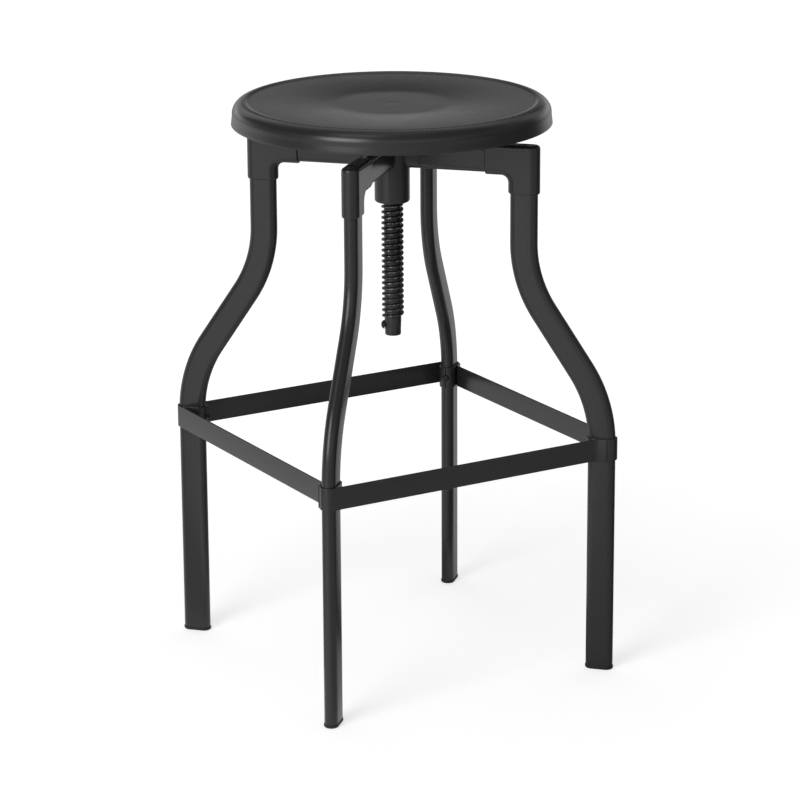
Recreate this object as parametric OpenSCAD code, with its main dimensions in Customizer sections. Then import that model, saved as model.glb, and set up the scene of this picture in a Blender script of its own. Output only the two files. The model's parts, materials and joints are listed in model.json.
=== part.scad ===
// Bar stool with a round steel seat that climbs on a screw spindle.
// Millimetres, +Z up. The origin is on the floor, on the axis of the spindle.
// The seat is drawn at its lowest height. The legs stand on the diagonals.

/* [Seat] */
// Diameter of the seat at the lower edge of its skirt
seat_d = 361; // [340:1:400]
// Thickness of the seat's pressed sheet
sheet_t = 1.5; // [1:0.1:2.5]
// Height of the rim, from the lower edge of the skirt to the crest
rim_h = 26; // [24:0.5:36]
// Outer radius of the rolled rim
rim_r = 14; // [12:0.5:20]
// Angle at which the skirt flares out
skirt_flare = 7; // [0:1:14]
// Height of the rim's crest above the outer edge of the dish
rim_step = 1.2; // [0.6:0.1:2]
// Radius at which the rim turns down inwards to the dish
bead_r = 3; // [3:0.5:6]
// Radius of the groove between the rim and the dish
groove_r = 2; // [2:0.5:6]
// Radius of the flat recess in the middle of the seat
recess_r = 58; // [58:1:80]
// Depth of the recess below the outer edge of the dish
recess_depth = 3.3; // [2:0.1:6]
// Radius of the blend between the recess and the dish around it
recess_blend = 240; // [60:10:300]
// Diameter of the shallow centre mark
mark_d = 5; // [3:0.5:10]
// Depth of the shallow centre mark
mark_depth = 0.3; // [0.1:0.1:0.8]

/* [Seat fixing] */
// Outer diameter of the pressed bracket welded under the recess
bracket_d = 112; // [100:1:114]
// Thickness of the bracket
bracket_t = 2; // [1.5:0.1:3]
// Drop of the bracket's middle below its rim
bracket_drop = 8; // [7:0.5:12]
// Diameter of the bracket's flat middle
bracket_flat_d = 88; // [82:1:92]
// Diameter of the round flange on the spindle
flange_d = 80; // [72:1:84]
// Thickness of the flange
flange_t = 4; // [3:0.5:6]
// Diameter of the boss under the flange
boss_d = 34; // [30:1:38]
// Height of the boss under the flange
boss_h = 20; // [12:1:30]
// Leg of the weld between the boss and the flange
weld_leg = 3; // [1:0.5:4]
// Circle on which the four seat screws lie
seat_screw_pcd = 60; // [52:1:62]
// Shank diameter of the seat screws
seat_screw_d = 6; // [5:0.5:8]
// Length of the seat screws under the head
seat_screw_len = 12; // [10:1:14]

/* [Spindle] */
// Outer diameter of the screw thread
thread_d = 25.4; // [20:0.2:30]
// Rise of the thread in one turn
thread_lead = 6.35; // [5:0.05:8]
// Depth of the thread
thread_depth = 3.1; // [2:0.1:3.4]
// Share of the lead that the crest of the thread takes
crest_share = 0.3; // [0.2:0.02:0.36]
// Share of the lead that each flank of the thread takes
flank_share = 0.14; // [0.08:0.02:0.2]
// Turns that the seat makes from its lowest to its highest place
travel_turns = 21.5; // [12:0.5:23]
// Diameter of the plain end below the thread
tail_d = 18.4; // [15:0.1:18.6]
// Distance from the stop screw to the lower end of the spindle
tail_len = 11.7; // [8:0.1:20]
// Bevel at the lower end of the spindle
tail_bevel = 1.5; // [0.5:0.1:3]
// Room left above the stop screw's head when the seat is at its highest
stop_gap = 1.9; // [1:0.1:6]
// Diameter of the stop screw's head
stop_head_d = 10.8; // [9:0.1:14]
// Height of the stop screw's head
stop_head_h = 4; // [3:0.1:5]
// Shank diameter of the stop screw
stop_d = 6; // [4:0.5:8]
// Direction in which the head of the stop screw points
stop_az = 150; // [0:1:359]
// Diameter of the blind hole in the plain end
tail_hole_d = 3; // [2:0.5:4]
// Distance of the blind hole below the stop screw
tail_hole_drop = 7; // [6:0.5:8.5]
// Angle from the stop screw's head round to the blind hole
tail_hole_turn = 130; // [60:5:140]

/* [Washer] */
// Thickness of the washer between the boss and the hub
washer_t = 4; // [2:0.5:6]
// Outer diameter of the washer
washer_d = 38; // [32:1:40]

/* [Hub and arms] */
// Height of the top of the frame above the floor
frame_h = 610; // [560:1:660]
// Diameter of the hub
hub_d = 40; // [36:1:44]
// Length of the hub
hub_len = 73; // [60:1:90]
// Edge rounding at the lower end of the hub
hub_round = 2.5; // [0.5:0.1:3]
// Turns of thread cut inside the hub
hub_turns = 6; // [4:1:8]
// Radius of the fillets between the hub and its stubs
hub_fillet = 6; // [3:0.5:9]
// Distance from the axis to the end of the hub's stubs
stub_end = 34; // [30:1:44]
// Length of the spigot that enters each arm
spigot_len = 14; // [8:1:25]

/* [Elbows] */
// Wall of the elbows around the tubes
elbow_wall = 2.3; // [1.5:0.1:4]
// Wall of the elbows over the arms
elbow_top_wall = 1.5; // [1:0.1:3]
// Wall of the elbows over the legs
elbow_cap = 6; // [4:0.5:8]
// Height of the elbows
elbow_h = 55.5; // [48:0.5:70]
// Distance from the leg's middle to the mouth that takes the arm
elbow_reach = 43.8; // [36:0.1:60]
// Depth of the socket that takes the arm
arm_socket = 24; // [12:1:26]
// Radius of the fillet inside the elbows
elbow_fillet = 8; // [4:0.5:12]
// Rounding of the elbows' upper edges
elbow_round = 3.5; // [0.5:0.1:5]
// Rounding of the lip at the mouth over the leg
elbow_lip = 2; // [0.5:0.1:3]
// Shank diameter of the leg bolts
leg_bolt_d = 6; // [5:0.5:8]
// Length of the leg bolts
leg_bolt_len = 22; // [16:1:25]

/* [Legs] */
// Long side of the flat-oval tube
tube_w = 31.5; // [26:0.5:36]
// Short side of the flat-oval tube
tube_t = 15.5; // [12:0.5:18]
// Wall of the tube
tube_wall = 1.5; // [1:0.1:2.5]
// Distance from the axis to the middle of a leg at the floor
foot_r = 245; // [220:1:280]
// Distance from the axis to the middle of a leg at the elbow
shoulder_r = 153; // [140:1:160]
// Height at which the lower bend of the leg starts
bend_z = 272; // [260:1:300]
// Angle of the leg between its two bends
bend_angle = 33.7; // [30:0.1:38]
// Radius of the lower bend
low_bend_r = 151; // [120:1:160]
// Radius of the upper bend
high_bend_r = 142; // [110:1:150]
// Length of the threaded insert in the top of each leg
insert_len = 20; // [14:1:30]

/* [Footrest] */
// Height of the lower edge of the footrest
strap_z = 253; // [180:1:262]
// Height of the footrest's straps and collars
strap_h = 25.5; // [18:0.5:32]
// Thickness of the straps and collars
strap_t = 2; // [1.5:0.1:3]
// Width of the seam in each collar
seam_w = 1; // [0.5:0.1:2]
// Distance that a strap lands inwards of the leg's middle
landing_in = 4; // [0:0.5:8]
// Length of the tab with which a strap lies on a collar
tab_len = 12; // [6:0.5:15]
// Shank diameter of the collar screws
collar_screw_d = 5; // [4:0.5:6]

/* [Feet] */
// Height of the foot cap under the tube
cap_h = 4; // [3:0.5:8]
// Distance that the foot cap stands out from the tube
cap_lip = 0.7; // [0:0.1:2]
// Rounding of the foot cap's lower edge
cap_round = 2; // [0.5:0.5:3]
// Easing of the foot cap's upper edge
cap_ease = 0.5; // [0.2:0.1:0.7]
// Length of the plug inside the tube
plug_len = 20; // [10:1:35]
// Wall of the plug
plug_wall = 3; // [2:0.5:5]

/* [Fits] */
// Clearance around a tube in its socket or collar
slip = 0.1; // [0.05:0.05:0.3]
// Radial clearance of the thread in the hub
thread_slip = 0.35; // [0.3:0.05:0.6]
// Radial clearance of a shank in its hole
shank_slip = 0.15; // [0.05:0.05:0.5]

/* [Smoothness] */
// Segments of a full circle
round_fn = 96; // [48:8:128]
// Segments in one turn of the thread
thread_fn = 20; // [16:2:28]

/* [Hidden] */
$fn = round_fn;

// Overshoot of a cutter past the face that it cuts
cut = 1;

// Corners of the stool, counted anticlockwise from the front left
CORNERS = [0, 1, 2, 3];
first_corner_az = 225;
quarter = 90;

// Directions of the four seat screws
first_screw_az = 45;
SCREW_AZ = [for (k = [0:3]) first_screw_az + quarter * k];

// Straight pieces in which the drawn arcs are laid out
blend_steps = 3;
dish_steps = 10;
bead_steps = 4;
rim_steps = 12;
edge_steps = 6;
corner_steps = 5;

// Colours of the finishes
powder_black = [0.13, 0.13, 0.135];
plastic_black = [0.06, 0.06, 0.06];
screw_black = [0.09, 0.09, 0.095];
zinc = [0.62, 0.63, 0.64];
nylon = [0.85, 0.84, 0.8];

// Flat-oval sections
bore_w = tube_w - 2 * tube_wall;
bore_t = tube_t - 2 * tube_wall;
end_x = (tube_w - tube_t) / 2;

// Heights of the spindle's pieces
hub_z = frame_h - hub_len;
washer_z = frame_h;
boss_z = washer_z + washer_t;
flange_z = boss_z + boss_h;
bracket_z = flange_z + flange_t;
bracket_rim_z = bracket_z + bracket_drop;
// Angle of the bracket's sloping part, which rises as far as it runs
bracket_slope = 45;
recess_z = bracket_rim_z + bracket_t + sheet_t;
dish_z = recess_z + recess_depth;
crest_z = dish_z + rim_step;
skirt_z = crest_z - rim_h;

// The screw thread
travel = travel_turns * thread_lead;
root_r = thread_d / 2 - thread_depth;
stop_z = hub_z - travel - stop_gap - stop_head_d / 2;
tail_z = stop_z - tail_len;
thread_z = stop_z + stop_head_d / 2 + cut;
// The plain neck above the thread is a little thicker than the root
neck_step = 0.2;
neck_d = 2 * (root_r + neck_step);
thread_turns = floor((washer_z - thread_z) / thread_lead - 1);
thread_end_z = thread_z + (thread_turns + 1) * thread_lead;
// Whole turns between the spindle's thread and the hub's, so that the two are in step
hub_thread_lag = ceil((hub_z - thread_z) / thread_lead) - 2;
hub_thread_z = thread_z + hub_thread_lag * thread_lead;
// The plain bore above the hub's thread starts this part of a turn below the end of its groove
bore_lead = 0.25;
hub_bore_z = hub_thread_z + (hub_turns - bore_lead) * thread_lead;
hub_bore_d = thread_d + 2 * (thread_slip + neck_step);

// The rolled rim, and the dish inside it
rim_c = seat_d / 2 - (rim_r + (rim_h - rim_r) * sin(skirt_flare)) / cos(skirt_flare);
rim_cz = crest_z - rim_r;
// Slope of the short flank between the rim and the groove
flank_angle = acos(1 - rim_step / (bead_r + groove_r));
groove_c = rim_c - (bead_r + groove_r) * sin(flank_angle);
dish_angle = 2 * atan(recess_depth / (groove_c - recess_r));
dish_r = (groove_c - recess_r) / sin(dish_angle) - recess_blend;

// The arms and elbows
arm_z = frame_h - elbow_top_wall - tube_w / 2;
elbow_z = frame_h - elbow_h;
elbow_mouth = shoulder_r - elbow_reach;
elbow_w = tube_w + 2 * elbow_wall;
elbow_t = tube_t + 2 * elbow_wall;
elbow_under = arm_z - tube_w / 2 - elbow_wall;
elbow_inner = shoulder_r - elbow_w / 2;
leg_top = frame_h - elbow_cap;

// The bends of a leg, from the floor up
bend_sum = (low_bend_r + high_bend_r) * (1 - cos(bend_angle));
slope_len = (foot_r - shoulder_r - bend_sum) / sin(bend_angle);
slope_x = foot_r - low_bend_r * (1 - cos(bend_angle));
slope_z = bend_z + low_bend_r * sin(bend_angle);
slope_end_x = slope_x - slope_len * sin(bend_angle);
slope_end_z = slope_z + slope_len * cos(bend_angle);
high_cx = slope_end_x + high_bend_r * cos(bend_angle);
high_cz = slope_end_z + high_bend_r * sin(bend_angle);
// The sloping part runs a little into both bends, with a wall that is slightly fuller on each face
slope_lap = 1.5;
slope_fuller = 0.05;

// The collars and straps, seen from above with the leg on +X
collar_gap = slip;
collar_in_r = tube_t / 2 + collar_gap;
collar_out_r = collar_in_r + strap_t;
collar_w = tube_w + 2 * (collar_gap + strap_t);
collar_t = 2 * collar_out_r;
strap_mid = collar_in_r + strap_t / 2;
landing = [collar_out_r + strap_t / 2, foot_r - landing_in];
wrap = [foot_r + end_x, 0];
reach = landing - wrap;
strap_dir = atan2(reach[1], reach[0]) + asin(strap_mid / norm(reach));
strap_start = wrap + strap_mid * [sin(strap_dir), -cos(strap_dir)];
strap_len = norm(landing - strap_start);

// Screws
head_ratio = 1.75;
head_rise = 0.55;
socket_share = 0.5;
socket_ratio = 0.7;
sunk_ratio = 0.5;
nut_ratio = 1.65;
nut_rise = 0.8;
thread_fit = 0.05;
collar_screw_z = strap_z + strap_h / 2;
collar_inner = foot_r - collar_w / 2;
// Thickness that a collar screw crosses
collar_grip = strap_t + collar_gap + tube_wall;

// Points of an arc around c with radius r, from angle a to angle b
function arc(c, r, a, b, n) = [for (i = [0:n]) c + r * [cos(a + (b - a) * i / n), sin(a + (b - a) * i / n)]];

// The same without its first point, for an arc that goes on where another one ends
function arc_on(c, r, a, b, n) = arc(c, r, a + (b - a) / n, b, n - 1);

// Outline of the seat's skin: the near side of the sheet when d is 0, the far side when d is the sheet
function skin(d) = concat(
    [[0, recess_z - d]],
    arc([recess_r, recess_z + recess_blend], recess_blend + d, -90, -90 + dish_angle, blend_steps),
    arc_on([groove_c, dish_z - dish_r], dish_r - d, 90 + dish_angle, 90, dish_steps),
    arc_on([groove_c, dish_z + groove_r], groove_r + d, -90, -90 + flank_angle, bead_steps),
    arc_on([rim_c, crest_z - bead_r], bead_r - d, 90 + flank_angle, 90, bead_steps),
    arc_on([rim_c, rim_cz], rim_r - d, 90, -skirt_flare, rim_steps)
);

// A flat oval with its long side along X
module oval(w, t) {
    translate([(w - t) / 2, 0]) circle(d = t);
    translate([-(w - t) / 2, 0]) circle(d = t);
    square([w - t, t], center = true);
}

// The section of the tube, with a wall fuller by c on both faces
module tube_section(c = 0) {
    difference() {
        oval(tube_w + 2 * c, tube_t + 2 * c);
        oval(bore_w - 2 * c, bore_t - 2 * c);
    }
}

// Upright flat-oval block with rounded lower and upper edges
module soft_oval(w, t, h, low, high) {
    edge = concat(
        arc([t / 2 - low, low], low, -90, 0, edge_steps),
        arc([t / 2 - high, h - high], high, 0, 90, edge_steps)
    );
    mirrored = [for (i = [len(edge) - 1:-1:0]) [-edge[i][0], edge[i][1]]];
    for (side = [-1, 1]) {
        translate([side * (w - t) / 2, 0, 0])
            rotate_extrude() polygon(concat([[0, 0]], edge, [[0, h]]));
    }
    translate([-(w - t) / 2, 0, 0])
        rotate([90, 0, 90])
            linear_extrude(w - t) polygon(concat(edge, mirrored));
}

// Stands the children at corner k, drawn with the corner on +X
module at_corner(k) {
    rotate([0, 0, first_corner_az + quarter * k]) children();
}

// Button head screw along +Z, with the underside of its head at the origin and its shank below
module button_screw(d, shank_len) {
    head_d = head_ratio * d;
    head_h = head_rise * d;
    sphere_r = (head_d * head_d / 4 + head_h * head_h) / (2 * head_h);
    difference() {
        union() {
            intersection() {
                translate([0, 0, head_h - sphere_r]) sphere(r = sphere_r);
                cylinder(d = head_d, h = head_h);
            }
            translate([0, 0, -shank_len]) cylinder(d = d - 2 * thread_fit, h = shank_len + head_h / 3);
        }
        translate([0, 0, head_h * (1 - socket_share)])
            cylinder(d = socket_ratio * d, h = head_h, $fn = 6);
    }
}

// Countersunk shape that hangs from the origin: a cone over a shank, both fattened by c
module countersink(d, shank_len, c) {
    translate([0, 0, -sunk_ratio * d])
        cylinder(d1 = d + 2 * c, d2 = d * (1 + 2 * sunk_ratio) + 2 * c, h = sunk_ratio * d);
    translate([0, 0, -shank_len]) cylinder(d = d + 2 * c, h = shank_len - sunk_ratio * d / 2);
}

// Corner points of the thread's ridge at turn k and angle share s, fattened by c
function ridge(z, k, s, c) = let (
        base = z + thread_lead * (k + s),
        flank = flank_share * thread_lead,
        crest = crest_share * thread_lead
    ) [
        [root_r + c, base - c],
        [thread_d / 2 + c, base + flank - c],
        [thread_d / 2 + c, base + flank + crest + c],
        [root_r + c, base + 2 * flank + crest + c]
    ];

// Column i of the threaded bar: the root below the first ridge, all ridges, the root above them
function column(z, turns, i, c) = let (extra = i == 0 ? 1 : 0) concat(
    [[root_r + c, z - thread_lead / 2]],
    [for (k = [0:turns - 1 + extra]) each ridge(z, k, i / thread_fn, c)],
    [[root_r + c, z + (turns + 1) * thread_lead]]
);

// Threaded bar with a right-hand ridge of the given number of turns, from half a lead below z
module threaded_bar(z, turns, c) {
    n = thread_fn;
    m = 4 * turns + 2;
    first = [for (p = column(z, turns, 0, c)) [p[0], 0, p[1]]];
    rest = [for (i = [1:n - 1]) for (p = column(z, turns, i, c))
        [p[0] * cos(360 * i / n), p[0] * sin(360 * i / n), p[1]]];
    points = concat(first, rest);
    // Place of point j of column i in the list
    function at(i, j) = i == 0 ? j : m + 4 + (i - 1) * m + j;
    top0 = m + 3;
    // The panel after column 0 meets the blunt end of the last ridge
    start_panel = concat(
        [for (j = [0:m - 3]) [at(0, j), at(0, j + 1), at(1, j + 1), at(1, j)]],
        [for (pair = [[m - 2, m - 1], [m - 1, m + 2], [m + 2, top0]])
            [at(0, pair[0]), at(0, pair[1]), at(1, m - 2)]],
        [[top0, at(1, m - 1), at(1, m - 2)]]
    );
    middle_panels = [for (i = [1:n - 2]) for (j = [0:m - 2])
        [at(i, j), at(i, j + 1), at(i + 1, j + 1), at(i + 1, j)]];
    // The last panel runs one turn up the first column and meets the blunt start of the first ridge
    end_panel = concat(
        [for (pair = [[5, 4], [4, 1], [1, 0]]) [at(n - 1, 1), at(0, pair[0]), at(0, pair[1])]],
        [[at(n - 1, 1), at(0, 0), at(n - 1, 0)]],
        [for (j = [1:m - 2]) [at(n - 1, j), at(n - 1, j + 1), at(0, j + 5), at(0, j + 4)]]
    );
    blunt = [
        [at(0, 1), at(0, 4), at(0, 3), at(0, 2)],
        [at(0, m - 1), at(0, m), at(0, m + 1), at(0, m + 2)]
    ];
    caps = [
        [for (i = [0:n - 1]) at(i, 0)],
        [for (i = [n - 1:-1:0]) i == 0 ? top0 : at(i, m - 1)]
    ];
    polyhedron(points, concat(start_panel, middle_panels, end_panel, blunt, caps), convexity = 10);
}

module seat_pan() {
    outer = skin(0);
    inner = skin(sheet_t);
    run = [sin(skirt_flare), -cos(skirt_flare)];
    last = outer[len(outer) - 1];
    skirt_len = (last[1] - skirt_z) / cos(skirt_flare);
    lip = last + skirt_len * run;
    lip_in = inner[len(inner) - 1] + skirt_len * run;
    back = [for (i = [len(inner) - 1:-1:0]) inner[i]];
    color(powder_black)
        difference() {
            rotate_extrude() polygon(concat(outer, [lip, lip_in], back));
            translate([0, 0, recess_z - mark_depth]) cylinder(d = mark_d, h = cut);
        }
}

module seat_bracket() {
    rise = bracket_drop;
    rim_in = bracket_flat_d / 2 + rise;
    color(powder_black)
        difference() {
            rotate_extrude() polygon([
                [neck_d / 2 + slip, bracket_z],
                [bracket_flat_d / 2, bracket_z],
                [rim_in, bracket_rim_z],
                [bracket_d / 2, bracket_rim_z],
                [bracket_d / 2, bracket_rim_z + bracket_t],
                [rim_in - bracket_t * tan(bracket_slope / 2), bracket_rim_z + bracket_t],
                [bracket_flat_d / 2 - bracket_t * tan(bracket_slope / 2), bracket_z + bracket_t],
                [neck_d / 2 + slip, bracket_z + bracket_t]
            ]);
            seat_screw_holes(bracket_z);
        }
}

// Cutters of the four seat screw holes through the sheet whose underside is at height z
module seat_screw_holes(z) {
    for (a = SCREW_AZ) {
        rotate([0, 0, a])
            translate([seat_screw_pcd / 2, 0, z - cut])
                cylinder(d = seat_screw_d + 2 * shank_slip, h = flange_t + bracket_t + 2 * cut);
    }
}

module seat_weld_nuts() {
    color(zinc)
        for (a = SCREW_AZ) {
            rotate([0, 0, a])
                translate([seat_screw_pcd / 2, 0, bracket_z + bracket_t])
                    difference() {
                        cylinder(d = nut_ratio * seat_screw_d, h = nut_rise * seat_screw_d, $fn = 6);
                        translate([0, 0, -cut]) cylinder(d = seat_screw_d, h = seat_screw_d + 2 * cut);
                    }
        }
}

module seat_screws() {
    color(screw_black)
        for (a = SCREW_AZ) {
            rotate([0, 0, a])
                translate([seat_screw_pcd / 2, 0, flange_z])
                    mirror([0, 0, 1]) button_screw(seat_screw_d, seat_screw_len);
        }
}

module spindle_flange() {
    color(powder_black)
        difference() {
            rotate_extrude() polygon([
                [neck_d / 2 + slip, boss_z],
                [boss_d / 2, boss_z],
                [boss_d / 2, flange_z - weld_leg],
                [boss_d / 2 + weld_leg, flange_z],
                [flange_d / 2, flange_z],
                [flange_d / 2, bracket_z],
                [neck_d / 2 + slip, bracket_z]
            ]);
            seat_screw_holes(flange_z);
        }
}

module spindle() {
    color(screw_black)
        difference() {
            union() {
                translate([0, 0, tail_z])
                    cylinder(d1 = tail_d - 2 * tail_bevel, d2 = tail_d, h = tail_bevel);
                translate([0, 0, tail_z + tail_bevel])
                    cylinder(d = tail_d, h = thread_z - thread_lead / 2 - tail_z - tail_bevel);
                threaded_bar(thread_z, thread_turns, 0);
                translate([0, 0, thread_end_z])
                    cylinder(d = neck_d, h = bracket_z + bracket_t - thread_end_z);
            }
            translate([0, 0, stop_z])
                rotate([0, 90, stop_az])
                    cylinder(d = stop_d + 2 * shank_slip, h = 2 * tail_d, center = true);
            rotate([0, 0, stop_az + tail_hole_turn])
                translate([tail_d / 4, 0, stop_z - tail_hole_drop])
                    rotate([0, 90, 0]) cylinder(d = tail_hole_d, h = tail_d);
        }
}

module stop_screw() {
    // The head clears the root of the thread, and so stands a little off the plain end
    seat_r = root_r + slip;
    sphere_r = (stop_head_d * stop_head_d / 4 + stop_head_h * stop_head_h) / (2 * stop_head_h);
    color(screw_black)
        translate([0, 0, stop_z])
            rotate([0, 90, stop_az])
                difference() {
                    union() {
                        translate([0, 0, seat_r])
                            intersection() {
                                translate([0, 0, stop_head_h - sphere_r]) sphere(r = sphere_r);
                                cylinder(d = stop_head_d, h = stop_head_h);
                            }
                        translate([0, 0, -tail_d / 2]) cylinder(d = stop_d, h = tail_d / 2 + seat_r + cut);
                    }
                    translate([0, 0, seat_r + stop_head_h * socket_share])
                        cylinder(d = socket_ratio * stop_d, h = stop_head_h, $fn = 6);
                }
}

module thrust_washer() {
    color(nylon)
        translate([0, 0, washer_z])
            difference() {
                cylinder(d = washer_d, h = washer_t);
                translate([0, 0, -cut]) cylinder(d = neck_d + 2 * slip, h = washer_t + 2 * cut);
            }
}

// Plan of one fillet between the hub and the flank of a stub on +X
module hub_fillet_plan() {
    half = tube_t / 2;
    cx = sqrt(pow(hub_d / 2 + hub_fillet, 2) - pow(half + hub_fillet, 2));
    touch = hub_d / 2 / (hub_d / 2 + hub_fillet) * [cx, half + hub_fillet];
    difference() {
        polygon([[hub_d / 4, half / 2], [cx, half / 2], [cx, half], touch]);
        translate([cx, half + hub_fillet]) circle(r = hub_fillet);
    }
}

module hub() {
    color(powder_black)
        difference() {
            union() {
                translate([0, 0, hub_z])
                    rotate_extrude() polygon(concat(
                        [[0, 0]],
                        arc([hub_d / 2 - hub_round, hub_round], hub_round, -90, 0, corner_steps),
                        [[hub_d / 2, hub_len], [0, hub_len]]
                    ));
                for (k = CORNERS) {
                    at_corner(k) {
                        translate([0, 0, arm_z])
                            rotate([0, 90, 0]) linear_extrude(stub_end) oval(tube_w, tube_t);
                        translate([stub_end - cut, 0, arm_z])
                            rotate([0, 90, 0])
                                linear_extrude(spigot_len + cut) oval(bore_w - 2 * slip, bore_t - 2 * slip);
                        for (side = [0, 1]) {
                            mirror([0, side, 0])
                                translate([0, 0, arm_z - end_x])
                                    linear_extrude(2 * end_x) hub_fillet_plan();
                        }
                    }
                }
            }
            threaded_bar(hub_thread_z, hub_turns, thread_slip);
            translate([0, 0, hub_bore_z])
                cylinder(d = hub_bore_d, h = frame_h + cut - hub_bore_z);
        }
}

module arm(k) {
    start = stub_end;
    color(powder_black)
        at_corner(k)
            translate([start, 0, arm_z])
                rotate([0, 90, 0]) linear_extrude(elbow_mouth + arm_socket - start) tube_section();
}

// Section across the elbow's level part, seen along the arm, with the floor at -Y of the drawing
module elbow_level_section() {
    half = elbow_t / 2;
    translate([0, elbow_under + half]) circle(r = half);
    polygon(concat(
        [[-half, elbow_under + half], [half, elbow_under + half]],
        arc([half - elbow_round, frame_h - elbow_round], elbow_round, 0, 90, corner_steps),
        arc([-half + elbow_round, frame_h - elbow_round], elbow_round, 90, 180, corner_steps)
    ));
}

// Profile that is swept round the elbow's inner fillet: a half round towards the axis of the sweep
module elbow_fillet_section() {
    half = elbow_t / 2;
    translate([elbow_fillet + half, 0]) circle(r = half);
    translate([elbow_fillet + half, -half]) square([half / 2, elbow_t]);
}

module elbow(k) {
    color(powder_black)
        at_corner(k)
            difference() {
                union() {
                    translate([shoulder_r, 0, elbow_z])
                        soft_oval(elbow_w, elbow_t, elbow_h, elbow_lip, elbow_round);
                    translate([elbow_mouth, 0, 0])
                        rotate([90, 0, 90]) linear_extrude(elbow_reach) elbow_level_section();
                    translate([elbow_inner - elbow_fillet, 0, elbow_under - elbow_fillet])
                        rotate([90, 0, 0]) rotate_extrude(angle = quarter) elbow_fillet_section();
                }
                translate([shoulder_r, 0, elbow_z - cut])
                    linear_extrude(elbow_h - elbow_cap + cut) oval(tube_w + 2 * slip, tube_t + 2 * slip);
                translate([elbow_mouth - cut, 0, arm_z])
                    rotate([0, 90, 0])
                        linear_extrude(arm_socket + cut) oval(tube_w + 2 * slip, tube_t + 2 * slip);
                translate([shoulder_r, 0, frame_h]) countersink(leg_bolt_d, elbow_cap + cut, shank_slip);
            }
}

// Cutter of the collar screw's hole through the inner end of a leg or collar
module collar_screw_hole() {
    translate([collar_inner - cut, 0, collar_screw_z])
        rotate([0, 90, 0])
            cylinder(d = collar_screw_d + 2 * shank_slip, h = collar_grip + 2 * cut);
}

module leg(k) {
    color(powder_black)
        at_corner(k)
            difference() {
                union() {
                    translate([foot_r, 0, cap_h]) linear_extrude(bend_z - cap_h) tube_section();
                    translate([foot_r - low_bend_r, 0, bend_z])
                        rotate([90, 0, 0])
                            rotate_extrude(angle = bend_angle) translate([low_bend_r, 0]) tube_section();
                    translate([slope_x, 0, slope_z])
                        rotate([0, -bend_angle, 0])
                            translate([0, 0, -slope_lap])
                                linear_extrude(slope_len + 2 * slope_lap) tube_section(slope_fuller);
                    translate([high_cx, 0, high_cz])
                        rotate([90, 180, 0])
                            rotate_extrude(angle = bend_angle) translate([high_bend_r, 0]) tube_section();
                    translate([shoulder_r, 0, high_cz]) linear_extrude(leg_top - high_cz) tube_section();
                }
                collar_screw_hole();
            }
}

module leg_inserts() {
    color(zinc)
        for (k = CORNERS) {
            at_corner(k)
                translate([shoulder_r, 0, leg_top - insert_len])
                    difference() {
                        linear_extrude(insert_len) oval(bore_w - 2 * slip, bore_t - 2 * slip);
                        translate([0, 0, -cut]) cylinder(d = leg_bolt_d, h = insert_len + 2 * cut);
                    }
        }
}

module leg_bolts() {
    color(screw_black)
        for (k = CORNERS) {
            at_corner(k)
                translate([shoulder_r, 0, frame_h])
                    difference() {
                        countersink(leg_bolt_d, leg_bolt_len, -thread_fit);
                        translate([0, 0, -sunk_ratio * leg_bolt_d * socket_share])
                            cylinder(d = socket_ratio * leg_bolt_d, h = leg_bolt_d, $fn = 6);
                    }
        }
}

module collar(k) {
    color(powder_black)
        at_corner(k)
            difference() {
                translate([foot_r, 0, strap_z])
                    linear_extrude(strap_h)
                        difference() {
                            oval(collar_w, collar_t);
                            oval(tube_w + 2 * collar_gap, 2 * collar_in_r);
                        }
                translate([collar_inner - cut, -seam_w / 2, strap_z - cut])
                    cube([strap_t + 2 * cut, seam_w, strap_h + 2 * cut]);
                collar_screw_hole();
            }
}

// A strap leaves corner k at a tangent to its collar and lands flat on the next collar
module strap(k) {
    color(powder_black)
        at_corner(k)
            difference() {
                union() {
                    translate([strap_start[0], strap_start[1], strap_z])
                        rotate([0, 0, strap_dir])
                            translate([0, -strap_t / 2, 0]) cube([strap_len, strap_t, strap_h]);
                    translate([landing[0], landing[1], strap_z]) cylinder(d = strap_t, h = strap_h);
                    translate([landing[0] - strap_t / 2, landing[1], strap_z])
                        cube([strap_t, tab_len, strap_h]);
                }
                for (turn = [0, quarter]) {
                    rotate([0, 0, turn])
                        translate([foot_r, 0, strap_z - cut])
                            linear_extrude(strap_h + 2 * cut) oval(collar_w, collar_t);
                }
            }
}

module collar_screws() {
    color(screw_black)
        for (k = CORNERS) {
            at_corner(k)
                translate([collar_inner, 0, collar_screw_z])
                    rotate([0, -90, 0]) button_screw(collar_screw_d, collar_grip + 2 * collar_screw_d);
        }
}

module collar_nuts() {
    face_x = collar_inner + collar_grip;
    nut_w = nut_ratio * collar_screw_d;
    sink = bore_t / 2 - sqrt(pow(bore_t / 2, 2) - pow(nut_w / 2, 2));
    color(zinc)
        for (k = CORNERS) {
            at_corner(k)
                translate([face_x + sink + slip, 0, collar_screw_z])
                    rotate([0, 90, 0])
                        difference() {
                            translate([-nut_w / 2, -nut_w / 2, 0])
                                cube([nut_w, nut_w, nut_rise * collar_screw_d]);
                            translate([0, 0, -cut])
                                cylinder(d = collar_screw_d, h = collar_screw_d + 2 * cut);
                        }
        }
}

module foot(k) {
    color(plastic_black)
        at_corner(k)
            translate([foot_r, 0, 0]) {
                soft_oval(tube_w + 2 * cap_lip, tube_t + 2 * cap_lip, cap_h, cap_round, cap_ease);
                difference() {
                    linear_extrude(cap_h + plug_len) oval(bore_w - 2 * slip, bore_t - 2 * slip);
                    translate([0, 0, cap_h])
                        linear_extrude(plug_len + cut) oval(bore_w - 2 * plug_wall, bore_t - 2 * plug_wall);
                }
            }
}

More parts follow.
